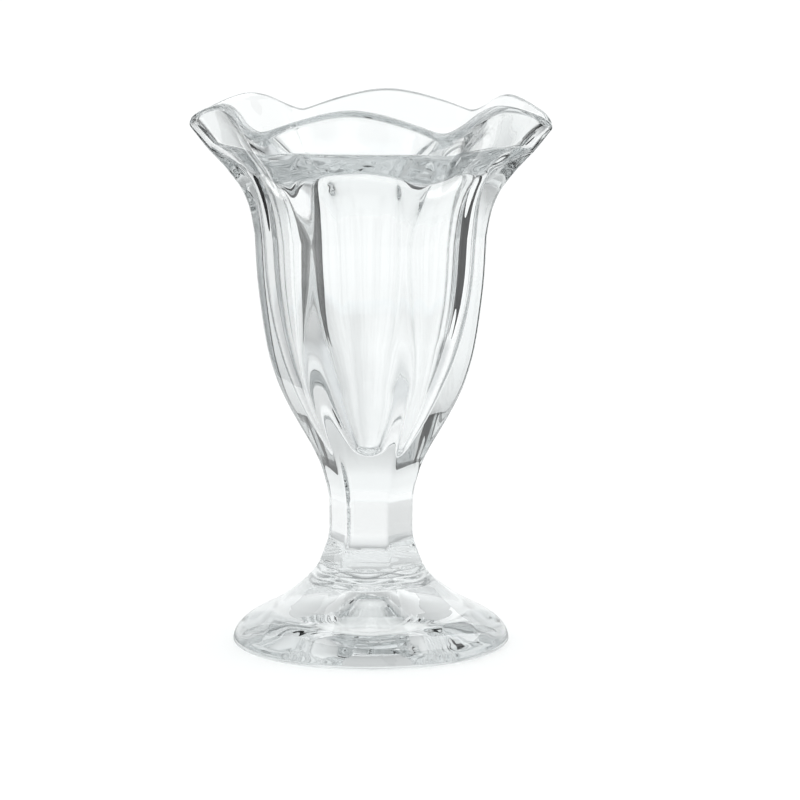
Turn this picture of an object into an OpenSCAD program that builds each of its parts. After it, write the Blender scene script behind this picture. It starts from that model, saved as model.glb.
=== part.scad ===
// Parfait glass of clear pressed glass: a round foot, a short six-sided stem and
// a six-sided tulip bowl with a flared, scalloped rim, a level ledge inside it and
// a round well under the ledge.
// Millimetres, +Z up. The origin is on the table under the axis of the glass.
// A flat panel faces -Y and a ridge faces +X.

/* [Foot] */
// Radius of the foot at its widest
foot_r = 38.1; // [34:0.1:44]
// Height of the foot, from the table to its seal with the stem
foot_h = 12; // [11:0.5:15]
// Height of the widest place on the rolled edge
edge_z = 1.4; // [1:0.1:2.4]
// Distance from the widest place in to the resting ring
edge_inset = 2.9; // [2:0.1:4]
// Width of the flat ring that the glass stands on
ring_w = 1.8; // [1:0.1:3]
// Height of the domed hollow under the foot
hollow_h = 9.5; // [6:0.5:10.5]

/* [Stem] */
// Radius of the round base of the stem, at its seal with the foot
base_r = 25; // [21:0.1:28]
// Height of the flare between that seal and the shank
base_h = 19.5; // [15:0.5:25]
// Radius of the shank across two ridges
stem_r = 11.5; // [9.5:0.1:13.5]
// Rounding of a ridge on the shank
stem_round = 1; // [0.6:0.1:2.5]
// Height of the straight shank
shank_h = 4.5; // [2:0.5:20]
// Height of the neck, where the shank widens to meet the bowl
neck_h = 8; // [5:0.5:12]

/* [Bowl] */
// Radius across two ridges where the bowl is sealed to the stem
seat_r = 12.2; // [11:0.1:15]
// Height of the body of the bowl, from that seal to the throat under the flare
body_h = 69; // [55:1:90]
// Radius across two ridges at the throat
throat_r = 31.8; // [28:0.1:36]
// Rounding of a ridge at the throat
throat_round = 8; // [5:0.5:12]
// Thickness of the wall at the middle of a panel at the throat
wall = 5.4; // [3.5:0.1:6.5]
// Thickness of glass between the seal and the bottom of the well
floor_t = 11; // [8:0.1:16]
// Radius of the round bottom of the well
nose_r = 6; // [4:0.1:7]

/* [Rim] */
// Height of the flare, from the throat to the highest points of the rim
flare_h = 37; // [35:0.5:46]
// Radius of the rim across two ridges, at its outermost
mouth_r = 49.4; // [45:0.1:54]
// Radius of the rim at the middle of a panel
mouth_flat_r = 43.6; // [41:0.1:46]
// Rounding of a ridge at the rim
mouth_round = 14; // [9:0.5:17]
// How far the rim dips from the middle of a panel to a ridge
scallop_h = 5.8; // [2:0.1:8]
// Thickness of the rim
rim_t = 3; // [2:0.1:3.6]

/* [Ledge] */
// Height of the outer edge of the ledge above the throat
ledge_h = 26; // [20:0.5:27]
// Radius of that edge across two ridges
ledge_r = 41.5; // [38:0.1:43]
// Radius of that edge at the middle of a panel
ledge_flat_r = 34.2; // [31:0.1:35.5]
// Rounding of that edge inside a ridge
ledge_round = 10; // [6:0.5:12]

/* [Hidden] */

// The glass has six equal sides
sides = 6;
side_angle = 360 / sides;
half_angle = side_angle / 2;

// Points in half a side, and how much closer together they lie near the ridge
half_steps = 6;
ridge_crowding = 1.5;

// Heights of the two seals and of the throat
stem_z = foot_h;
stem_h = base_h + shank_h + neck_h;
bowl_z = stem_z + stem_h;
throat_z = bowl_z + body_h;

// Side of the foot from the seal down to its widest place:
// share of the height fallen, and share of the way out
foot_top_shares = [[0, 0], [0.13, 0.18], [0.28, 0.42], [0.44, 0.65], [0.62, 0.83], [0.82, 0.955], [1, 1]];
// Hollow under the foot: share of its radius, and share of its height
hollow_shares = [[0, 1], [0.12, 0.94], [0.25, 0.737], [0.4, 0.522], [0.55, 0.328],
                 [0.67, 0.186], [0.82, 0.1], [1, 0]];
// Flare of the stem: share of its height, and share of the extra radius left
base_shares = [[0, 1], [0.16, 0.7], [0.32, 0.44], [0.5, 0.235], [0.72, 0.1], [0.88, 0.025], [1, 0]];
// How six-sided that flare is: share of its height, and share of the full panel depth
six_sided_shares = [[0, 0], [0.3, 0.3], [0.47, 0.7], [0.55, 1], [1, 1]];
// Neck: share of its height, and share of the way from the shank to the seat
neck_shares = [[0, 0], [0.5, 0.2], [1, 1]];
// Body outside: share of its height, and share of the way from the seat to the throat
body_shares = [[0, 0], [0.08, 0.085], [0.16, 0.22], [0.24, 0.385], [0.33, 0.56],
               [0.42, 0.7], [0.55, 0.83], [0.7, 0.914], [0.85, 0.972], [1, 1]];
// Flare outside: share of its height, and share of the way from the throat to the rim
flare_shares = [[0, 0], [0.2, 0.06], [0.39, 0.175], [0.6, 0.42], [0.82, 0.76], [1, 1]];
// Well: share of its height above the round bottom, and share of the way to its full radius
well_shares = [[0, 0], [0.078, 0.139], [0.142, 0.244], [0.2, 0.333], [0.265, 0.433], [0.355, 0.578],
               [0.436, 0.689], [0.527, 0.794], [0.673, 0.9], [0.818, 0.961], [1, 1]];
// Inside from the throat up to the edge of the ledge: share of the height, and share
// of the way from the well out to that edge
ledge_shares = [[0, 0], [0.3, 0.05], [0.5, 0.11], [0.67, 0.19], [0.76, 0.28],
                [0.865, 0.56], [0.977, 0.93], [1, 1]];
// Where the rings of points lie on that stretch: share of its height
ledge_ring_shares = [1, 0.977, 0.94, 0.9, 0.865, 0.83, 0.795, 0.76, 0.715, 0.67,
                     0.59, 0.5, 0.4, 0.3, 0.15];
// Inside of the lip: share of its height, and share of the way from the ledge to the rim
lip_shares = [[0, 0], [0.5, 0.48], [1, 1]];

// Lean of the wall at the rim, away from upright
ridge_lean = 45;
panel_lean = 30;
// Shape of a scallop, and the angle over which its valley is rounded
scallop_power = 1.8;
valley_angle = 3;
// Slope at which the round bottom of the well runs into its wall
nose_angle = 60;

// Rings of points up each stretch of wall
foot_steps = 24;
edge_steps = 8;
hollow_steps = 24;
base_steps = 16;
shank_steps = 1;
neck_steps = 4;
body_steps = 18;
flare_steps = 12;
bead_steps = 2;
lip_steps = 5;
well_steps = 16;
nose_steps = 4;

// A smooth curve through the rows of a table, without overshoot
function rise(table, i) =
    (table[i + 1][1] - table[i][1]) / (table[i + 1][0] - table[i][0]);
function slope(table, i) =
    i == 0 ? rise(table, 0) :
    i == len(table) - 1 ? rise(table, i - 1) :
    let (before = rise(table, i - 1), after = rise(table, i))
    before * after <= 0 ? 0 : 2 * before * after / (before + after);
function smooth_at(table, x) =
    let (i = max([for (k = [0 : len(table) - 2]) if (k == 0 || x >= table[k][0]) k]),
         span = table[i + 1][0] - table[i][0],
         u = (x - table[i][0]) / span,
         v = 1 - u)
    table[i][1] * v * v * (1 + 2 * u) + table[i + 1][1] * u * u * (3 - 2 * u)
    + span * u * v * (slope(table, i) * v - slope(table, i + 1) * u);

function mix(from, to, share) = from + (to - from) * share;

// Radius of a six-sided outline with rounded ridges, at an angle from the middle
// of a panel. An outline is [radius at a ridge, radius at a panel, ridge rounding].
// The panel is an arc that meets the arc of the ridge smoothly, flat in most places.
function flat_r(ridge_r, round_r) = (ridge_r - round_r) * cos(half_angle) + round_r;
function outline_r(outline, angle) =
    let (panel_r = outline[1],
         round_r = outline[2],
         centre_r = outline[0] - round_r,
         along = centre_r * cos(half_angle),
         across = centre_r * sin(half_angle),
         bend = 2 * (panel_r - along - round_r)
                / (round_r * round_r - pow(panel_r - along, 2) - across * across),
         toward = [bend * (panel_r - along) + 1, -bend * across],
         touch = [along, across] + round_r * toward / norm(toward),
         off = abs(angle),
         from_ridge = half_angle - off,
         lift = cos(off) * (bend * panel_r + 1),
         ends = panel_r * (bend * panel_r + 2))
    off < atan2(touch[1], touch[0])
        ? ends / (lift + sqrt(lift * lift - bend * ends))
        : centre_r * cos(from_ridge)
          + sqrt(round_r * round_r - pow(centre_r * sin(from_ridge), 2));

base_outline = [base_r, base_r, stem_round];
shank_outline = [stem_r, flat_r(stem_r, stem_round), stem_round];
seat_round = stem_round * seat_r / stem_r;
seat_outline = [seat_r, flat_r(seat_r, seat_round), seat_round];
throat_flat_r = flat_r(throat_r, throat_round);
throat_outline = [throat_r, throat_flat_r, throat_round];
well_r = throat_flat_r - wall;
ledge_outline = [ledge_r, ledge_flat_r, ledge_round];
mouth_outline = [mouth_r - rim_t / 2, mouth_flat_r - rim_t / 2, mouth_round];

// Angles of one ring of points, from the ridge at +X, closer together near the ridges
half_shares = [for (i = [0 : half_steps - 1]) pow(i / half_steps, ridge_crowding)];
side_angles = concat(
    [for (i = [0 : half_steps - 1]) half_angle * half_shares[i]],
    [half_angle],
    [for (i = [half_steps - 1 : -1 : 1]) side_angle - half_angle * half_shares[i]]);
ring_angles = [for (side = [0 : sides - 1], angle = side_angles) side * side_angle + angle];
ring_count = len(ring_angles);

// Angle from the middle of the nearest panel
function off_panel(angle) = angle % side_angle - half_angle;

// How far the rim has dipped at an angle: 0 at the middle of a panel, 1 at a ridge
function rounded(angle) = sqrt(angle * angle + valley_angle * valley_angle) - valley_angle;
function dip(angle) =
    pow(1 - rounded(half_angle - abs(off_panel(angle))) / rounded(half_angle), scallop_power);

// Middle of the wall at the rim, its rounded edge in a direction up from level outward,
// and the two ends of that edge
function rim_lean(angle) = mix(panel_lean, ridge_lean, dip(angle));
function rim_middle(angle) =
    [outline_r(mouth_outline, off_panel(angle)),
     body_h + flare_h - rim_t / 2 - scallop_h * dip(angle)];
function rim_at(angle, direction) = rim_middle(angle) + rim_t / 2 * [cos(direction), sin(direction)];
function rim_outer(angle) = rim_at(angle, -rim_lean(angle));
function rim_inner(angle) = rim_at(angle, 180 - rim_lean(angle));

// A ring of points, from a [radius, height] pair for each angle
function ring(pairs) =
    [for (i = [0 : ring_count - 1])
        [pairs[i][0] * cos(ring_angles[i]), pairs[i][0] * sin(ring_angles[i]), pairs[i][1]]];
function round_ring(r, z) = ring([for (angle = ring_angles) [r, z]]);
function six_sided_ring(outline, z) =
    ring([for (angle = ring_angles) [outline_r(outline, off_panel(angle)), z]]);
function blended_ring(from, to, share, z) =
    ring([for (angle = ring_angles)
        [mix(outline_r(from, off_panel(angle)), outline_r(to, off_panel(angle)), share), z]]);

// The skin over a stack of rings, closed by a flat face or a point at each end
function band_faces(rows) =
    [for (row = [0 : rows - 2], i = [0 : ring_count - 1])
        let (low = row * ring_count, high = low + ring_count, next = (i + 1) % ring_count)
        each [[low + i, high + i, high + next], [low + i, high + next, low + next]]];
function bottom_face() = [[for (i = [0 : ring_count - 1]) i]];
function top_face(rows) = [[for (i = [ring_count - 1 : -1 : 0]) (rows - 1) * ring_count + i]];
function point_faces(rows) =
    let (low = (rows - 1) * ring_count, tip = rows * ring_count)
    [for (i = [0 : ring_count - 1]) [low + i, tip, low + (i + 1) % ring_count]];
function joined(rings) = [for (points = rings, point = points) point];

module foot() {
    fall = foot_h - edge_z;
    top = [for (i = [0 : foot_steps])
        let (down = i / foot_steps)
        [mix(base_r, foot_r, smooth_at(foot_top_shares, down)), foot_h - fall * down]];
    edge = [for (i = [1 : edge_steps])
        let (turn = 90 * i / edge_steps)
        [foot_r - edge_inset * (1 - cos(turn)), edge_z * (1 - sin(turn))]];
    hollow_r = foot_r - edge_inset - ring_w;
    hollow = [for (i = [hollow_steps : -1 : 0])
        let (out = i / hollow_steps)
        [hollow_r * out, hollow_h * smooth_at(hollow_shares, out)]];
    color([0.88, 0.92, 0.93, 0.55])
        rotate_extrude($fn = ring_count)
            polygon(concat([[0, foot_h]], top, edge, hollow));
}

module stem() {
    panel_depth = 1 - flat_r(stem_r, stem_round) / stem_r;
    base_rings = [for (i = [0 : base_steps - 1])
        let (up = i / base_steps,
             r = mix(stem_r, base_r, smooth_at(base_shares, up)),
             depth = panel_depth * smooth_at(six_sided_shares, up))
        six_sided_ring([r, r * (1 - depth), stem_round * r / stem_r], base_h * up)];
    shank_rings = [for (i = [0 : shank_steps])
        six_sided_ring(shank_outline, base_h + shank_h * i / shank_steps)];
    neck_rings = [for (i = [1 : neck_steps])
        let (up = i / neck_steps)
        blended_ring(shank_outline, seat_outline, smooth_at(neck_shares, up),
                     base_h + shank_h + neck_h * up)];
    rings = concat(base_rings, shank_rings, neck_rings);
    rows = len(rings);
    color([0.86, 0.91, 0.92, 0.55])
        translate([0, 0, stem_z])
            polyhedron(joined(rings), concat(bottom_face(), band_faces(rows), top_face(rows)));
}

module bowl() {
    body_rings = [for (i = [0 : body_steps])
        let (up = i / body_steps)
        blended_ring(seat_outline, throat_outline, smooth_at(body_shares, up), body_h * up)];
    flare_rings = [for (i = [1 : flare_steps])
        let (up = i / flare_steps, share = smooth_at(flare_shares, up))
        ring([for (angle = ring_angles)
            let (start = [outline_r(throat_outline, off_panel(angle)), body_h],
                 end = rim_outer(angle))
            [mix(start[0], end[0], share), mix(start[1], end[1], up)]])];
    outer_bead_rings = [for (i = [0 : bead_steps])
        ring([for (angle = ring_angles) rim_at(angle, 90 * i / bead_steps)])];
    inner_bead_rings = [for (i = [1 : bead_steps - 1])
        ring([for (angle = ring_angles)
            rim_at(angle, mix(90, 180 - rim_lean(angle), i / bead_steps))])];
    lip_rings = [for (i = [lip_steps : -1 : 1])
        let (up = i / lip_steps, share = smooth_at(lip_shares, up))
        ring([for (angle = ring_angles)
            let (start = [outline_r(ledge_outline, off_panel(angle)), body_h + ledge_h],
                 end = rim_inner(angle))
            [mix(start[0], end[0], share), mix(start[1], end[1], up)]])];
    ledge_rings = [for (up = ledge_ring_shares)
        ring([for (angle = ring_angles)
            [mix(well_r, outline_r(ledge_outline, off_panel(angle)), smooth_at(ledge_shares, up)),
             body_h + ledge_h * up]])];
    nose_end = [nose_r * sin(nose_angle), floor_t + nose_r * (1 - cos(nose_angle))];
    well_rings = [for (i = [well_steps : -1 : 1])
        let (up = i / well_steps)
        round_ring(mix(nose_end[0], well_r, smooth_at(well_shares, up)),
                   mix(nose_end[1], body_h, up))];
    nose_rings = [for (i = [nose_steps : -1 : 1])
        let (turn = nose_angle * i / nose_steps)
        round_ring(nose_r * sin(turn), floor_t + nose_r * (1 - cos(turn)))];
    rings = concat(body_rings, flare_rings, outer_bead_rings, inner_bead_rings,
                   lip_rings, ledge_rings, well_rings, nose_rings);
    rows = len(rings);
    color([0.9, 0.94, 0.95, 0.5])
        translate([0, 0, bowl_z])
            polyhedron(concat(joined(rings), [[0, 0, floor_t]]),
                       concat(bottom_face(), band_faces(rows), point_faces(rows)));
}

bowl();
stem();
foot();
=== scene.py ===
"""The looks of the parfait glass: one body of clear pressed glass on a pale floor.

Metres, in the frame of the solids: +Z up, the origin on the table under the axis,
a flat panel facing -Y and a ridge facing +X. The three solids are fused in the real
glass, so the glass that shows is one closed skin over foot, stem and bowl.
"""

import math

import bpy
import numpy as np
from mathutils import Matrix, Vector


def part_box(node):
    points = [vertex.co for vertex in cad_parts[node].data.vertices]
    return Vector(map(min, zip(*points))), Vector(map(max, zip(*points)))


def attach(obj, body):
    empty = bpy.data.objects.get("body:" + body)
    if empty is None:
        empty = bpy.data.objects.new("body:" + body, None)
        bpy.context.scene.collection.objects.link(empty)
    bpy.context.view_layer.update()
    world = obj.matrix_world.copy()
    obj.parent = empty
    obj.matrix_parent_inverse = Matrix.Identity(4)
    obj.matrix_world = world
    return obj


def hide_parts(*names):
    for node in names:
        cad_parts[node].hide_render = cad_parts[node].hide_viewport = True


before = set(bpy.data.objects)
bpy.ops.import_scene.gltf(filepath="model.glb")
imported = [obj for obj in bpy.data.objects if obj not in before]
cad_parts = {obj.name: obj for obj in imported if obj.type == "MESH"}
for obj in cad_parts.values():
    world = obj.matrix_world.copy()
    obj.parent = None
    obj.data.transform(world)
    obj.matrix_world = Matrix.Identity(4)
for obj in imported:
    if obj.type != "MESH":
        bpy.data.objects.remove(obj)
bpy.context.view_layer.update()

MM = 0.001

# Sizes that come from the solids
foot_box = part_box("foot")
stem_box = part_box("stem")
bowl_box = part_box("bowl")
FOOT_R = foot_box[1].x
FOOT_H = foot_box[1].z
BASE_R = stem_box[1].x
SEAT_Z = bowl_box[0].z
TOP_Z = bowl_box[1].z
MOUTH_R = bowl_box[1].x

# Sizes of the foot
EDGE_Z = 1.4 * MM
EDGE_INSET = 2.9 * MM
RING_W = 1.8 * MM
HOLLOW_H = 9.5 * MM

# Sizes of the stem
STEM_R = 11.5 * MM
STEM_ROUND = 1.0 * MM
NECK_H = 8.0 * MM
SHANK_H = 4.5 * MM
BASE_H = SEAT_Z - NECK_H - SHANK_H - FOOT_H

# Sizes of the bowl
SEAT_R = 12.2 * MM
BODY_H = 69.0 * MM
THROAT_R = 31.8 * MM
THROAT_ROUND = 8.0 * MM
WALL = 5.4 * MM
FLOOR_T = 11.0 * MM
NOSE_R = 6.0 * MM

# Sizes of the rim
MOUTH_FLAT_R = 43.6 * MM
MOUTH_ROUND = 14.0 * MM
SCALLOP_H = 5.8 * MM
RIM_T = 3.0 * MM
LEDGE_H = 26.0 * MM
LEDGE_R = 41.5 * MM
LEDGE_FLAT_R = 34.2 * MM
LEDGE_ROUND = 10.0 * MM
RIDGE_LEAN = math.radians(45)
PANEL_LEAN = math.radians(30)
SCALLOP_POWER = 1.8
VALLEY_ANGLE = math.radians(3)
NOSE_ANGLE = math.radians(60)

# The outlines, as shares of the height and of the way between two radii
FOOT_TOP_SHARES = [(0, 0), (0.13, 0.18), (0.28, 0.42), (0.44, 0.65), (0.62, 0.83), (0.82, 0.955), (1, 1)]
HOLLOW_SHARES = [(0, 1), (0.12, 0.94), (0.25, 0.737), (0.4, 0.522), (0.55, 0.328),
                 (0.67, 0.186), (0.82, 0.1), (1, 0)]
BASE_SHARES = [(0, 1), (0.16, 0.7), (0.32, 0.44), (0.5, 0.235), (0.72, 0.1), (0.88, 0.025), (1, 0)]
SIX_SIDED_SHARES = [(0, 0), (0.3, 0.3), (0.47, 0.7), (0.55, 1), (1, 1)]
NECK_SHARES = [(0, 0), (0.5, 0.2), (1, 1)]
BODY_SHARES = [(0, 0), (0.08, 0.085), (0.16, 0.22), (0.24, 0.385), (0.33, 0.56),
               (0.42, 0.7), (0.55, 0.83), (0.7, 0.914), (0.85, 0.972), (1, 1)]
FLARE_SHARES = [(0, 0), (0.2, 0.06), (0.39, 0.175), (0.6, 0.42), (0.82, 0.76), (1, 1)]
WELL_SHARES = [(0, 0), (0.078, 0.139), (0.142, 0.244), (0.2, 0.333), (0.265, 0.433), (0.355, 0.578),
               (0.436, 0.689), (0.527, 0.794), (0.673, 0.9), (0.818, 0.961), (1, 1)]
LEDGE_SHARES = [(0, 0), (0.3, 0.05), (0.5, 0.11), (0.67, 0.19), (0.76, 0.28),
                (0.865, 0.56), (0.977, 0.93), (1, 1)]
LIP_SHARES = [(0, 0), (0.5, 0.48), (1, 1)]

# Fine rings where the stem flowed into the foot: height and depth of each groove
FLOW_RINGS = [(21.9 * MM, 0.2 * MM), (20.4 * MM, 0.17 * MM),
              (19.0 * MM, 0.16 * MM), (17.6 * MM, 0.14 * MM)]
# How wide each groove is, and how far it rises and falls on its way round
FLOW_RING_W = 0.45 * MM
FLOW_RING_WAVE = 0.3 * MM

# The six equal sides, and the points round one ring of the skin
SIDES = 6
SIDE_ANGLE = 2 * math.pi / SIDES
HALF_ANGLE = SIDE_ANGLE / 2
HALF_STEPS = 18
RIDGE_CROWDING = 1.4

# Steps up the outside of the skin, from under the foot to the rim
HOLLOW_STEPS = 36
EDGE_STEPS = 10
FOOT_TOP_STEPS = 40
BASE_STEPS = 96
SHANK_STEPS = 8
BODY_STEPS = 64
FLARE_STEPS = 40
BEAD_STEPS = 3

# Steps down the inside of it, from the rim to the bottom of the well
LIP_STEPS = 20
LEDGE_STEPS = 60
WELL_STEPS = 44
NOSE_STEPS = 10


def smooth_at(table, x):
    """A smooth curve through the rows of a table, without overshoot."""
    xs, ys = (np.array(column, float) for column in zip(*table))
    rise = np.diff(ys) / np.diff(xs)
    before, after = rise[:-1], rise[1:]
    both = before + after
    inner = np.where(before * after > 0, 2 * before * after / np.where(both == 0, 1, both), 0)
    slopes = np.concatenate([rise[:1], inner, rise[-1:]])
    i = np.clip(np.searchsorted(xs, x, side="right") - 1, 0, len(xs) - 2)
    span = xs[i + 1] - xs[i]
    u = (x - xs[i]) / span
    v = 1 - u
    ends = ys[i] * v * v * (1 + 2 * u) + ys[i + 1] * u * u * (3 - 2 * u)
    return ends + span * u * v * (slopes[i] * v - slopes[i + 1] * u)


def mix(start, end, share):
    """A value part of the way from a start to an end."""
    return start + (end - start) * share


def flat_r(ridge_r, round_r):
    """Radius of the middle of a flat panel between two rounded ridges."""
    return (ridge_r - round_r) * math.cos(HALF_ANGLE) + round_r


def outline_r(outline, off):
    """Radius of a six-sided outline at angles off the middle of a panel."""
    ridge_r, panel_r, round_r = outline
    off = np.abs(off)
    centre_r = ridge_r - round_r
    along = centre_r * math.cos(HALF_ANGLE)
    across = centre_r * math.sin(HALF_ANGLE)
    bend = 2 * (panel_r - along - round_r) / (round_r**2 - (panel_r - along) ** 2 - across**2)
    toward = np.array([bend * (panel_r - along) + 1, -bend * across])
    touch = np.array([along, across]) + round_r * toward / np.linalg.norm(toward)
    lift = np.cos(off) * (bend * panel_r + 1)
    ends = panel_r * (bend * panel_r + 2)
    panel = ends / (lift + np.sqrt(np.maximum(lift * lift - bend * ends, 0)))
    from_ridge = HALF_ANGLE - off
    swing = np.maximum(round_r**2 - (centre_r * np.sin(from_ridge)) ** 2, 0)
    ridge = centre_r * np.cos(from_ridge) + np.sqrt(swing)
    return np.where(off < math.atan2(touch[1], touch[0]), panel, ridge)


def ring_angles():
    """Angles round one ring, from the ridge at +X, closer together near the ridges."""
    half = [HALF_ANGLE * (i / HALF_STEPS) ** RIDGE_CROWDING for i in range(HALF_STEPS)]
    side = half + [HALF_ANGLE] + [SIDE_ANGLE - angle for angle in half[:0:-1]]
    return np.array([n * SIDE_ANGLE + angle for n in range(SIDES) for angle in side])


ANGLES = ring_angles()
OFF_PANEL = ANGLES % SIDE_ANGLE - HALF_ANGLE


def dip():
    """How far the rim has dipped: 0 at the middle of a panel, 1 at a ridge."""
    off_ridge = HALF_ANGLE - np.abs(OFF_PANEL)
    rounded = np.sqrt(off_ridge**2 + VALLEY_ANGLE**2) - VALLEY_ANGLE
    whole = math.sqrt(HALF_ANGLE**2 + VALLEY_ANGLE**2) - VALLEY_ANGLE
    return (1 - rounded / whole) ** SCALLOP_POWER


SHANK_OUTLINE = (STEM_R, flat_r(STEM_R, STEM_ROUND), STEM_ROUND)
SEAT_ROUND = STEM_ROUND * SEAT_R / STEM_R
SEAT_OUTLINE = (SEAT_R, flat_r(SEAT_R, SEAT_ROUND), SEAT_ROUND)
THROAT_FLAT_R = flat_r(THROAT_R, THROAT_ROUND)
THROAT_OUTLINE = (THROAT_R, THROAT_FLAT_R, THROAT_ROUND)
WELL_R = THROAT_FLAT_R - WALL
LEDGE_OUTLINE = (LEDGE_R, LEDGE_FLAT_R, LEDGE_ROUND)
MOUTH_OUTLINE = (MOUTH_R - RIM_T / 2, MOUTH_FLAT_R - RIM_T / 2, MOUTH_ROUND)
THROAT_Z = SEAT_Z + BODY_H


def even(steps, first=True):
    """Evenly spaced shares from 0 to 1, with or without the 0."""
    return [i / steps for i in range(0 if first else 1, steps + 1)]


def hollow_rows(steps):
    """The domed hollow under the foot, from next to its tip out to the resting ring."""
    hollow_r = FOOT_R - EDGE_INSET - RING_W
    return [(hollow_r * out, HOLLOW_H * smooth_at(HOLLOW_SHARES, out)) for out in even(steps, False)]


def edge_rows(steps):
    """From the resting ring round the rolled edge to the widest place."""
    ring_out = FOOT_R - EDGE_INSET
    turns = [math.pi / 2 * up for up in even(steps)]
    return [(ring_out + EDGE_INSET * math.sin(turn), EDGE_Z * (1 - math.cos(turn))) for turn in turns]


def foot_top_rows(steps):
    """From the widest place up the slope of the foot to the seal with the stem."""
    fall = FOOT_H - EDGE_Z
    downs = [1 - up for up in even(steps, False)]
    return [(mix(BASE_R, FOOT_R, smooth_at(FOOT_TOP_SHARES, down)), FOOT_H - fall * down) for down in downs]


def base_rows(steps):
    """The flare of the stem, which turns from round to six-sided."""
    depth = 1 - flat_r(STEM_R, STEM_ROUND) / STEM_R
    rows = []
    for up in even(steps, False):
        r = mix(STEM_R, BASE_R, smooth_at(BASE_SHARES, up))
        panel = r * (1 - depth * smooth_at(SIX_SIDED_SHARES, up))
        rows.append((outline_r((r, panel, STEM_ROUND * r / STEM_R), OFF_PANEL), FOOT_H + BASE_H * up))
    return rows


def shank_rows(steps):
    """The straight shank and the neck that widens to meet the bowl."""
    shank = outline_r(SHANK_OUTLINE, OFF_PANEL)
    seat = outline_r(SEAT_OUTLINE, OFF_PANEL)
    shank_z = FOOT_H + BASE_H
    rows = [(shank, shank_z + SHANK_H * up) for up in even(steps, False)]
    for up in even(steps, False):
        rows.append((mix(shank, seat, smooth_at(NECK_SHARES, up)), shank_z + SHANK_H + NECK_H * up))
    return rows


def body_rows(steps):
    """The outside of the bowl from the seal with the stem to the throat."""
    seat = outline_r(SEAT_OUTLINE, OFF_PANEL)
    throat = outline_r(THROAT_OUTLINE, OFF_PANEL)
    ups = even(steps, False)
    return [(mix(seat, throat, smooth_at(BODY_SHARES, up)), SEAT_Z + BODY_H * up) for up in ups]


def rim_middle():
    """Radius and height of the middle of the wall at the rim."""
    radius = outline_r(MOUTH_OUTLINE, OFF_PANEL)
    return radius, TOP_Z - RIM_T / 2 - SCALLOP_H * dip()


def rim_at(direction):
    """Radius and height of the rim's rounded edge, in a direction from upright outward."""
    radius, height = rim_middle()
    return radius + RIM_T / 2 * np.cos(direction), height + RIM_T / 2 * np.sin(direction)


def rim_lean():
    """How far the wall leans outward at the rim, from upright."""
    return mix(PANEL_LEAN, RIDGE_LEAN, dip())


def flare_rows(steps):
    """The outside of the flare, from the throat to the rim."""
    throat = outline_r(THROAT_OUTLINE, OFF_PANEL)
    rim_r, rim_z = rim_at(-rim_lean())
    ups = even(steps, False)
    return [(mix(throat, rim_r, smooth_at(FLARE_SHARES, up)), mix(THROAT_Z, rim_z, up)) for up in ups]


def bead_rows(steps):
    """The rounded edge of the rim, over from the outside to the inside."""
    outer = -rim_lean()
    rows = [rim_at(mix(outer, 0, up)) for up in even(steps, False)]
    rows += [rim_at(math.pi / 2 * up) for up in even(steps, False)]
    rows += [rim_at(mix(math.pi / 2, math.pi + outer, up)) for up in even(steps, False)[:-1]]
    return rows


def lip_rows(steps):
    """The inside of the lip, from the rim down to the edge of the ledge."""
    rim_r, rim_z = rim_at(math.pi - rim_lean())
    ledge = outline_r(LEDGE_OUTLINE, OFF_PANEL)
    rows = []
    for up in even(steps, False)[::-1]:
        rows.append((mix(ledge, rim_r, smooth_at(LIP_SHARES, up)), mix(THROAT_Z + LEDGE_H, rim_z, up)))
    return rows


def ledge_rows(steps):
    """The level ledge above the well, and the top of the well under it."""
    ledge = outline_r(LEDGE_OUTLINE, OFF_PANEL)
    rows = []
    for up in even(steps, False)[::-1]:
        rows.append((mix(WELL_R, ledge, smooth_at(LEDGE_SHARES, up)), THROAT_Z + LEDGE_H * up))
    return rows


def well_rows(steps, nose_steps):
    """The round well, down to next to the middle of its bottom."""
    floor_z = SEAT_Z + FLOOR_T
    nose_end = (NOSE_R * math.sin(NOSE_ANGLE), floor_z + NOSE_R * (1 - math.cos(NOSE_ANGLE)))
    rows = []
    for up in even(steps, False)[::-1]:
        radius = mix(nose_end[0], WELL_R, smooth_at(WELL_SHARES, up))
        rows.append((radius, mix(nose_end[1], THROAT_Z, up)))
    for up in even(nose_steps, False)[::-1]:
        turn = NOSE_ANGLE * up
        rows.append((NOSE_R * math.sin(turn), floor_z + NOSE_R * (1 - math.cos(turn))))
    return rows


def flow_rings(radius, height):
    """Radius with the fine rings cut into it, at the heights where the stem meets the foot."""
    wave = FLOW_RING_WAVE * np.cos(ANGLES * SIDES)
    for ring_z, depth in FLOW_RINGS:
        radius = radius - depth * np.exp(-(((height - ring_z - wave) / FLOW_RING_W) ** 2))
    return radius


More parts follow.
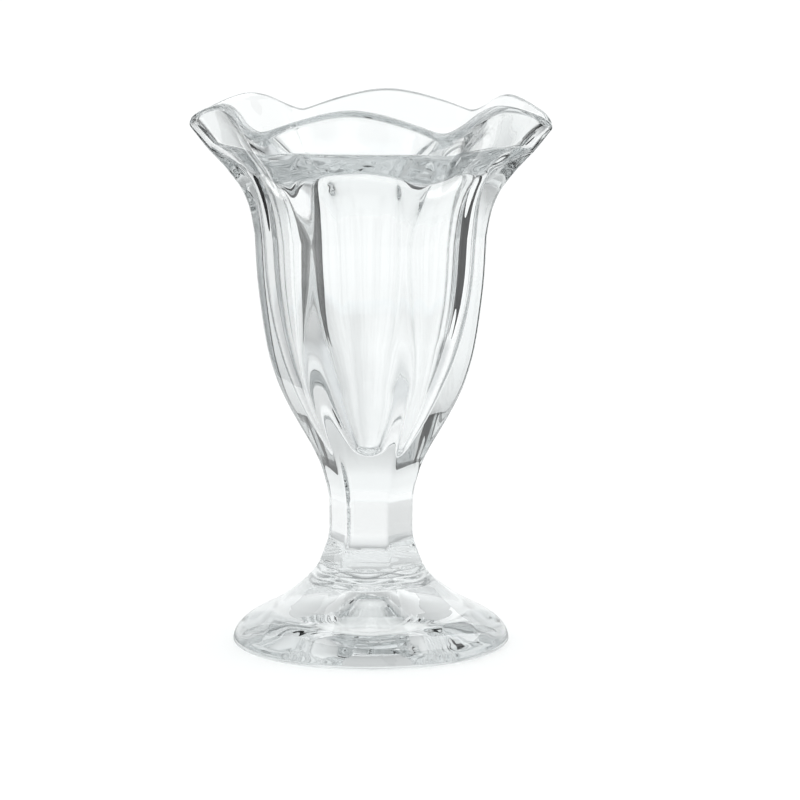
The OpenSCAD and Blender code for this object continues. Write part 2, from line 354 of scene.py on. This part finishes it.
def glass_mesh():
    """One closed skin over foot, stem and bowl, from under the foot to inside the well."""
    outside = foot_top_rows(FOOT_TOP_STEPS) + base_rows(BASE_STEPS) + shank_rows(SHANK_STEPS)
    outside += body_rows(BODY_STEPS) + flare_rows(FLARE_STEPS)
    outside = [(flow_rings(radius, height), height) for radius, height in outside]
    rows = hollow_rows(HOLLOW_STEPS) + edge_rows(EDGE_STEPS) + outside + bead_rows(BEAD_STEPS)
    rows += lip_rows(LIP_STEPS) + ledge_rows(LEDGE_STEPS) + well_rows(WELL_STEPS, NOSE_STEPS)
    count = len(ANGLES)
    ones = np.ones(count)
    points = [(0, 0, HOLLOW_H)]
    for radius, height in rows:
        points += zip(radius * np.cos(ANGLES), radius * np.sin(ANGLES), height * ones)
    points.append((0, 0, SEAT_Z + FLOOR_T))
    tip = len(points) - 1
    ring = [(i, (i + 1) % count) for i in range(count)]
    faces = [(0, 1 + b, 1 + a) for a, b in ring]
    for row in range(len(rows) - 1):
        low = 1 + row * count
        faces += [(low + a, low + b, low + count + b, low + count + a) for a, b in ring]
    last = 1 + (len(rows) - 1) * count
    faces += [(last + a, last + b, tip) for a, b in ring]
    mesh = bpy.data.meshes.new("parfait_glass")
    mesh.from_pydata([tuple(map(float, p)) for p in points], [], faces)
    mesh.validate()
    mesh.shade_smooth()
    return mesh


# The photograph's camera: its distance from the axis, height, direction and lens
CAMERA_AWAY = 0.986
CAMERA_HEIGHT = 0.2216
CAMERA_AZIMUTH = math.radians(6.5)
CAMERA_TILT = math.radians(8.885)
CAMERA_TURN = math.radians(0.467)
FOCAL_PIXELS = 3640
FRAME_PIXELS = 800
SENSOR_W = 36.0
CLIP_START = 0.01
CLIP_END = 100


def add_object(name, data):
    """An object in the scene, made from its mesh, light or camera data."""
    added = bpy.data.objects.new(name, data)
    bpy.context.scene.collection.objects.link(added)
    return added


def new_material(name):
    """A node material with nothing in it but its output."""
    material = bpy.data.materials.new(name)
    material.use_nodes = True
    nodes = material.node_tree.nodes
    nodes.clear()
    output = nodes.new("ShaderNodeOutputMaterial")
    return material, nodes, material.node_tree.links, output


def fill_ramp(ramp, rows):
    """Give a colour ramp its rows of position and colour."""
    stops = ramp.color_ramp.elements
    for i, (position, colour) in enumerate(rows):
        stop = stops[i] if i < 2 else stops.new(position)
        stop.position = position
        stop.color = (*colour, 1)


# Soda-lime glass: its index, its faint tint and what its shadow lets through
GLASS_IOR = 1.52
GLASS_TINT = (0.985, 0.992, 0.992, 1)
GLASS_SHADOW = (0.97, 0.975, 0.975, 1)
# How the glass takes light over a long way inside it: the colour it leaves, and how much to a metre
GLASS_ABSORBS_TO = (0.22, 0.3, 0.32, 1)
GLASS_DENSITY = 3.0
# The waviness of the glass: how many waves to a metre, their detail, and how deep they are
BROAD_WAVES = 55
BROAD_WAVE_DETAIL = 1
BROAD_WAVE_DEPTH = 0.12 * MM
FINE_WAVES = 420
FINE_WAVE_DETAIL = 2
FINE_WAVE_DEPTH = 0.004 * MM
# The less polished patches: how many to a metre, the noise where they begin and end, their roughness
POLISH_PATCHES = 140
POLISH_DETAIL = 1
POLISH_FADE = (0.5, 0.75)
POLISH_ROUGHNESS = 0.012


def noise(nodes, links, place, scale, detail):
    """A noise in the object's own coordinates."""
    texture = nodes.new("ShaderNodeTexNoise")
    texture.inputs["Scale"].default_value = scale
    texture.inputs["Detail"].default_value = detail
    links.new(place.outputs["Object"], texture.inputs["Vector"])
    return texture.outputs["Fac"]


def wavy(nodes, links, height, depth, normal=None):
    """A bump of a given depth, over another bump if there is one."""
    bump = nodes.new("ShaderNodeBump")
    bump.inputs["Strength"].default_value = 1.0
    bump.inputs["Distance"].default_value = depth
    links.new(height, bump.inputs["Height"])
    if normal:
        links.new(normal, bump.inputs["Normal"])
    return bump.outputs["Normal"]


def clear_glass():
    """Clear pressed glass with a faint cool tint, a gentle waviness and an uneven fire polish."""
    material, nodes, links, output = new_material("clear_pressed_glass")
    shader = nodes.new("ShaderNodeBsdfPrincipled")
    shader.inputs["Base Color"].default_value = GLASS_TINT
    place = nodes.new("ShaderNodeTexCoord")
    broad_height = noise(nodes, links, place, BROAD_WAVES, BROAD_WAVE_DETAIL)
    broad = wavy(nodes, links, broad_height, BROAD_WAVE_DEPTH)
    fine_height = noise(nodes, links, place, FINE_WAVES, FINE_WAVE_DETAIL)
    fine = wavy(nodes, links, fine_height, FINE_WAVE_DEPTH, broad)
    links.new(fine, shader.inputs["Normal"])
    polish = nodes.new("ShaderNodeMapRange")
    polish.inputs["From Min"].default_value = POLISH_FADE[0]
    polish.inputs["From Max"].default_value = POLISH_FADE[1]
    polish.inputs["To Min"].default_value = 0.0
    polish.inputs["To Max"].default_value = POLISH_ROUGHNESS
    links.new(noise(nodes, links, place, POLISH_PATCHES, POLISH_DETAIL), polish.inputs["Value"])
    links.new(polish.outputs[0], shader.inputs["Roughness"])
    shader.inputs["IOR"].default_value = GLASS_IOR
    shader.inputs["Transmission Weight"].default_value = 1.0
    clear = nodes.new("ShaderNodeBsdfTransparent")
    clear.inputs["Color"].default_value = GLASS_SHADOW
    path = nodes.new("ShaderNodeLightPath")
    choose = nodes.new("ShaderNodeMixShader")
    links.new(path.outputs["Is Shadow Ray"], choose.inputs[0])
    links.new(shader.outputs[0], choose.inputs[1])
    links.new(clear.outputs[0], choose.inputs[2])
    links.new(choose.outputs[0], output.inputs["Surface"])
    inside = nodes.new("ShaderNodeVolumeAbsorption")
    inside.inputs["Color"].default_value = GLASS_ABSORBS_TO
    inside.inputs["Density"].default_value = GLASS_DENSITY
    links.new(inside.outputs[0], output.inputs["Volume"])
    return material


def matt_material(name, colour):
    """A matt surface of one colour, for what stands round the glass."""
    material, nodes, links, output = new_material(name)
    shader = nodes.new("ShaderNodeBsdfDiffuse")
    shader.inputs["Color"].default_value = (*colour, 1)
    links.new(shader.outputs[0], output.inputs["Surface"])
    return material


def build_glass():
    """The glass, in place of the three solids."""
    glass = add_object("parfait_glass", glass_mesh())
    glass.data.materials.append(clear_glass())
    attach(glass, "root")
    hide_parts("bowl", "stem", "foot")


# Half the width of the floor, far enough for its edge to be out of sight
FLOOR_REACH = 20.0
FLOOR_GREY = 0.93


def build_floor():
    """The pale floor that the glass stands on."""
    left, right = -FLOOR_REACH, FLOOR_REACH
    corners = [(left, left, 0), (right, left, 0), (right, right, 0), (left, right, 0)]
    mesh = bpy.data.meshes.new("floor")
    mesh.from_pydata(corners, [], [(0, 1, 2, 3)])
    floor = add_object("floor", mesh)
    floor.data.materials.append(matt_material("pale_floor", [FLOOR_GREY] * 3))


def only_glass_shows(card):
    """Keep a card out of the camera's sight and out of the light on everything else."""
    card.visible_camera = False
    card.visible_diffuse = False
    card.visible_shadow = False


# The two cards near the glass, behind its left and right: azimuth, width and bottom
NEAR_CARDS = [(135.5, 0.036, 0.03), (239.0, 0.042, 0.025)]
NEAR_CARD_AWAY = 0.11
NEAR_CARD_TOP = 0.2
NEAR_CARD_GREY = 0.015
# The cards farther off, in pairs that mirror each other: azimuth and width
FAR_CARDS = [(22.5, 0.06), (67.5, 0.05)]
FAR_CARD_AWAY = 0.3
FAR_CARD_BOTTOM = 0.06
FAR_CARD_TOP = 0.3
FAR_CARD_GREY = 0.03
CARD_TINT = (1.0, 1.03, 1.05)
# How far above its bottom a card has its full width, and its share of that at the bottom
CARD_TAPER = 0.05
CARD_FOOT_SHARE = 0.1


def build_card(azimuth, away, width, bottom, top, grey):
    """A dark upright card that faces the glass and narrows toward its bottom."""
    turn = math.radians(azimuth)
    out = Vector((math.sin(turn), -math.cos(turn), 0)) * away
    side = Vector((math.cos(turn), math.sin(turn), 0)) * width / 2
    low = Vector((0, 0, bottom))
    high = Vector((0, 0, top))
    knee = Vector((0, 0, bottom + CARD_TAPER))
    foot = side * CARD_FOOT_SHARE
    right = [out + foot + low, out + side + knee, out + side + high]
    left = [out - side + high, out - side + knee, out - foot + low]
    corners = right + left
    mesh = bpy.data.meshes.new("dark_card")
    mesh.from_pydata(corners, [], [tuple(range(len(corners)))])
    card = add_object("dark_card", mesh)
    card.data.materials.append(matt_material("dark_card", [grey * tint for tint in CARD_TINT]))
    only_glass_shows(card)


def build_cards():
    """Narrow dark cards round the glass, which only its reflections and refractions show."""
    for azimuth, width, bottom in NEAR_CARDS:
        build_card(azimuth, NEAR_CARD_AWAY, width, bottom, NEAR_CARD_TOP, NEAR_CARD_GREY)
    for azimuth, width in FAR_CARDS:
        for turned in (azimuth, -azimuth):
            build_card(turned, FAR_CARD_AWAY, width, FAR_CARD_BOTTOM, FAR_CARD_TOP, FAR_CARD_GREY)


# The ring card, flat on the floor: its radii, height and number of sides
RING_CARD_INNER = 0.039
RING_CARD_OUTER = 0.45
RING_CARD_Z = 0.0005
RING_CARD_SIDES = 72
RING_CARD_TINT = (0.98, 1.0, 1.01)
# Its painted shade and the strength of its satin gloss, by the share of the outer radius
# The greys are painted shade: darkest next to the foot as a painted contact shadow of the glass, then a
# dark band farther out that the glass shows as shade
RING_CARD_PAINTED_SHADE = [(0.09, 0.35), (0.16, 0.72), (0.22, 0.72),
                   (0.31, 0.34), (0.6, 0.34), (0.85, FLOOR_GREY)]
SATIN_REACH = [(0.09, 0.0), (0.16, 1.0), (0.78, 1.0), (1.0, 0.0)]
# The gloss by how shallow the look at it is: 0 straight down, 1 level
SATIN_GLOSS = [(0.36, 0.0), (0.47, 0.77), (0.6, 1.0)]
SATIN_ROUGHNESS = 0.5


def ramp_of(nodes, links, value, rows, tint=(1, 1, 1)):
    """A ramp of greys over a value."""
    ramp = nodes.new("ShaderNodeValToRGB")
    fill_ramp(ramp, [(at, [grey * part for part in tint]) for at, grey in rows])
    links.new(value, ramp.inputs[0])
    return ramp.outputs[0]


def ring_card_material():
    """A satin finish over painted shade, in greys that change with the distance from the glass."""
    material, nodes, links, output = new_material("painted_shade_ring")
    place = nodes.new("ShaderNodeTexCoord")
    away = nodes.new("ShaderNodeVectorMath")
    away.operation = "LENGTH"
    links.new(place.outputs["Object"], away.inputs[0])
    share = nodes.new("ShaderNodeMath")
    share.operation = "DIVIDE"
    share.inputs[1].default_value = RING_CARD_OUTER
    links.new(away.outputs["Value"], share.inputs[0])
    body = nodes.new("ShaderNodeBsdfDiffuse")
    # Painted shade: the greys darken the ring next to the foot as a painted contact shadow, and farther out
    # as a band of shade
    painted_shade = ramp_of(nodes, links, share.outputs[0], RING_CARD_PAINTED_SHADE, RING_CARD_TINT)
    links.new(painted_shade, body.inputs["Color"])
    satin = nodes.new("ShaderNodeBsdfGlossy")
    satin.inputs["Roughness"].default_value = SATIN_ROUGHNESS
    turned = nodes.new("ShaderNodeLayerWeight")
    gloss = nodes.new("ShaderNodeMath")
    gloss.operation = "MULTIPLY"
    links.new(ramp_of(nodes, links, turned.outputs["Facing"], SATIN_GLOSS), gloss.inputs[0])
    links.new(ramp_of(nodes, links, share.outputs[0], SATIN_REACH), gloss.inputs[1])
    finish = nodes.new("ShaderNodeMixShader")
    links.new(gloss.outputs[0], finish.inputs[0])
    links.new(body.outputs[0], finish.inputs[1])
    links.new(satin.outputs[0], finish.inputs[2])
    links.new(finish.outputs[0], output.inputs["Surface"])
    return material


def build_ring_card():
    """A grey satin ring on the floor round the glass, its greys a painted contact shadow and painted shade,
    which only the glass shows.
    """
    turns = [2 * math.pi * i / RING_CARD_SIDES for i in range(RING_CARD_SIDES)]
    radii = (RING_CARD_INNER, RING_CARD_OUTER)
    corners = [(math.cos(t) * r, math.sin(t) * r, RING_CARD_Z) for r in radii for t in turns]
    count = RING_CARD_SIDES
    faces = [(i, (i + 1) % count, (i + 1) % count + count, i + count) for i in range(count)]
    mesh = bpy.data.meshes.new("painted_shade_ring")
    mesh.from_pydata(corners, [], faces)
    card = add_object("painted_shade_ring", mesh)
    card.data.materials.append(ring_card_material())
    only_glass_shows(card)


def build_camera():
    """The photograph's camera, level from side to side and looking slightly down."""
    camera_data = bpy.data.cameras.new("camera")
    camera_data.sensor_width = SENSOR_W
    camera_data.lens = FOCAL_PIXELS / FRAME_PIXELS * SENSOR_W
    camera_data.clip_start = CLIP_START
    camera_data.clip_end = CLIP_END
    camera = add_object("camera", camera_data)
    turn = CAMERA_AZIMUTH
    place = Vector((math.sin(turn) * CAMERA_AWAY, -math.cos(turn) * CAMERA_AWAY, CAMERA_HEIGHT))
    tilt = Matrix.Rotation(math.pi / 2 - CAMERA_TILT, 4, "X")
    yaw = Matrix.Rotation(CAMERA_AZIMUTH - CAMERA_TURN, 4, "Z")
    camera.matrix_world = Matrix.Translation(place) @ yaw @ tilt
    bpy.context.scene.camera = camera


# The studio's sky: height above the horizon as the sine of its angle, and brightness there
SKY = [(0.0, 1.05), (0.15, 1.0), (0.35, 0.86), (0.6, 0.7), (0.85, 0.6), (1.0, 0.56)]
SKY_TINT = (0.98, 1.0, 1.0)
# The soft light overhead: how wide it is, how strong, and how it is turned
SUN_SPREAD = math.radians(70)
SUN_STRENGTH = 1.55
SUN_TILT = math.radians(25)
SUN_TURN = math.radians(160)


def build_lights():
    """A sky that is pale at the horizon and greyer above, and one wide soft light overhead."""
    light_data = bpy.data.lights.new("overhead_softbox", "SUN")
    light_data.angle = SUN_SPREAD
    light_data.energy = SUN_STRENGTH
    light = add_object("overhead_softbox", light_data)
    light.rotation_euler = (SUN_TILT, 0, SUN_TURN)
    light.visible_transmission = False
    world = bpy.data.worlds.new("studio")
    world.use_nodes = True
    nodes, links = world.node_tree.nodes, world.node_tree.links
    place = nodes.new("ShaderNodeTexCoord")
    height = nodes.new("ShaderNodeSeparateXYZ")
    ramp = nodes.new("ShaderNodeValToRGB")
    fill_ramp(ramp, [(sine, [brightness * tint for tint in SKY_TINT]) for sine, brightness in SKY])
    links.new(place.outputs["Generated"], height.inputs[0])
    links.new(height.outputs["Z"], ramp.inputs[0])
    links.new(ramp.outputs[0], nodes["Background"].inputs["Color"])
    bpy.context.scene.world = world


# How often light may turn inside thick clear glass before it is given up
ALL_BOUNCES = 64
MIRROR_BOUNCES = 20
SHADOW_BOUNCES = 24


def set_view():
    """Plain colours, and enough bounces for the light that glass traps."""
    scene = bpy.context.scene
    scene.view_settings.view_transform = "Standard"
    scene.cycles.max_bounces = ALL_BOUNCES
    scene.cycles.transmission_bounces = ALL_BOUNCES
    scene.cycles.glossy_bounces = MIRROR_BOUNCES
    scene.cycles.transparent_max_bounces = SHADOW_BOUNCES


build_glass()
build_floor()
build_cards()
build_ring_card()
build_camera()
build_lights()
set_view()
